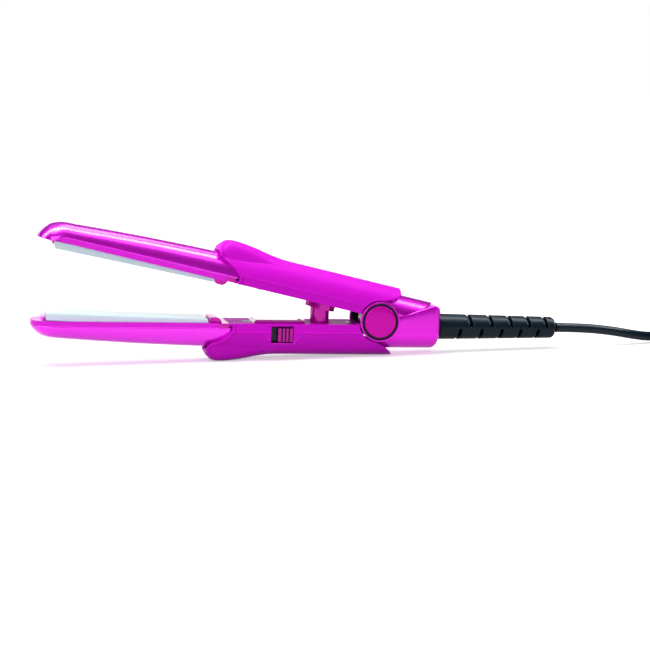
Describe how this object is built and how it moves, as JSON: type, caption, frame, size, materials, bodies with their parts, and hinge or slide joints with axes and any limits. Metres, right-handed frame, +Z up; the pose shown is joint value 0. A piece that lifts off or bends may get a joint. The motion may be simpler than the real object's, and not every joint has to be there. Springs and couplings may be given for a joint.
{
  "type": "hair straightener",
  "caption": "hand-held hair iron with two hinged arms, sprung open, flat heated plates, slide switch, pivot caps and a mains cord in a slotted strain relief",
  "frame": {"origin": "on the surface that the lower arm lies on, below the middle of the iron's length and width, the mains cord and what is on it left out", "axes": "+X runs along the iron from the plates to the cord, +Y across it, away from the side with the switch, +Z up"},
  "size_m": [0.5083, 0.0512, 0.0779],
  "materials": {
    "handle_pink": "satin",
    "barrel_pink": "pearl gloss",
    "tail_pink": "pearl gloss",
    "cap_red": "gloss",
    "carrier_pink": "gloss",
    "inner_pink": "gloss",
    "plate_blue": "smooth glaze",
    "heater_metal": "bare",
    "cushion_silicone": "matt",
    "dark_plastic": "matt",
    "panel_clear": "gloss",
    "lamp_red": "gloss",
    "slider_pink": "satin",
    "screw_steel": "zinc",
    "board_green": "satin",
    "fuse_white": "satin",
    "pin_steel": "ground",
    "bush_white": "satin",
    "spring_steel": "drawn",
    "relief_black": "satin",
    "cord_black": "satin",
    "tie_black": "matt",
    "contact_brass": "bare",
    "plug_black": "satin",
    "blade_brass": "plated"
  },
  "bodies": {
    "lower_arm": {"board_components": "dark_plastic", "board_screws": "screw_steel", "circuit_board": "board_green", "contact_block": "dark_plastic", "control_panel": "panel_clear", "cord_coil": "cord_black", "cord_tie": "tie_black", "guide_post": "handle_pink", "hinge_pin": "pin_steel", "lower_barrel": "barrel_pink", "lower_cover_screws": "screw_steel", "lower_front_stop": "dark_plastic", "lower_handle": "handle_pink", "lower_inner_cover": "handle_pink", "lower_neck": "inner_pink", "lower_plate_carrier": "carrier_pink", "lower_plate_cushions": "cushion_silicone", "lower_thermal_fuse": "fuse_white", "pilot_lamp": "lamp_red", "pivot_badge_far": "cap_red", "pivot_badge_near": "cap_red", "pivot_cap_far": "cap_red", "pivot_cap_near": "cap_red", "plug_blades": "blade_brass", "plug_body": "plug_black", "plug_lead": "cord_black", "power_cord": "cord_black", "rear_housing_far": "tail_pink", "rear_housing_near": "tail_pink", "switch_body": "dark_plastic", "torsion_spring": "spring_steel"},
    "upper_arm": {"bump_stop": "handle_pink", "hinge_bush_far": "bush_white", "hinge_bush_near": "bush_white", "hinge_tail": "tail_pink", "post_collar": "handle_pink", "upper_barrel": "barrel_pink", "upper_cover_screws": "screw_steel", "upper_front_stop": "dark_plastic", "upper_handle": "handle_pink", "upper_inner_cover": "handle_pink", "upper_neck": "inner_pink", "upper_plate_carrier": "carrier_pink", "upper_plate_cushions": "cushion_silicone", "upper_thermal_fuse": "fuse_white"},
    "lower_plate_unit": {"lower_plate": "plate_blue", "lower_heater": "heater_metal"},
    "upper_plate_unit": {"upper_plate": "plate_blue", "upper_heater": "heater_metal"},
    "switch": {"switch_slider": "slider_pink"},
    "cord_boot": {"cord_relief": "relief_black", "swivel_core": "dark_plastic", "swivel_rings": "contact_brass"}
  },
  "joints": [
    {"name": "arm_hinge", "type": "hinge", "parent": "lower_arm", "child": "upper_arm", "pos_m": [0.04172, 0, 0.02003], "axis": [0, -1, 0], "range_deg": [0, 11.2], "stiffness_Nm_per_rad": 1, "springref_deg": -14.32, "deforming": ["torsion_spring"]},
    {"name": "lower_plate_rock", "type": "hinge", "parent": "lower_arm", "child": "lower_plate_unit", "pos_m": [-0.0979, 0, 0.02721], "axis": [0, -1, 0], "range_deg": [0, 0.8], "deforming": ["lower_plate_cushions"]},
    {"name": "upper_plate_rock", "type": "hinge", "parent": "upper_arm", "child": "upper_plate_unit", "pos_m": [-0.09381, 0, 0.05435], "axis": [0, 1, 0], "range_deg": [0, 0.8], "deforming": ["upper_plate_cushions"]},
    {"name": "switch_slide", "type": "slide", "parent": "lower_arm", "child": "switch", "axis": [-0.9992, 0, 0.041], "range_m": [0, 0.0036]},
    {"name": "cord_swivel", "type": "hinge", "parent": "lower_arm", "child": "cord_boot", "pos_m": [0.07753, 0, 0.01461], "axis": [0.9992, 0, -0.041], "continuous": true}
  ],
  "couplings": [
    {"joint": "lower_plate_rock", "follows": "arm_hinge", "ratio": 0.0714},
    {"joint": "upper_plate_rock", "follows": "arm_hinge", "ratio": 0.0714}
  ]
}
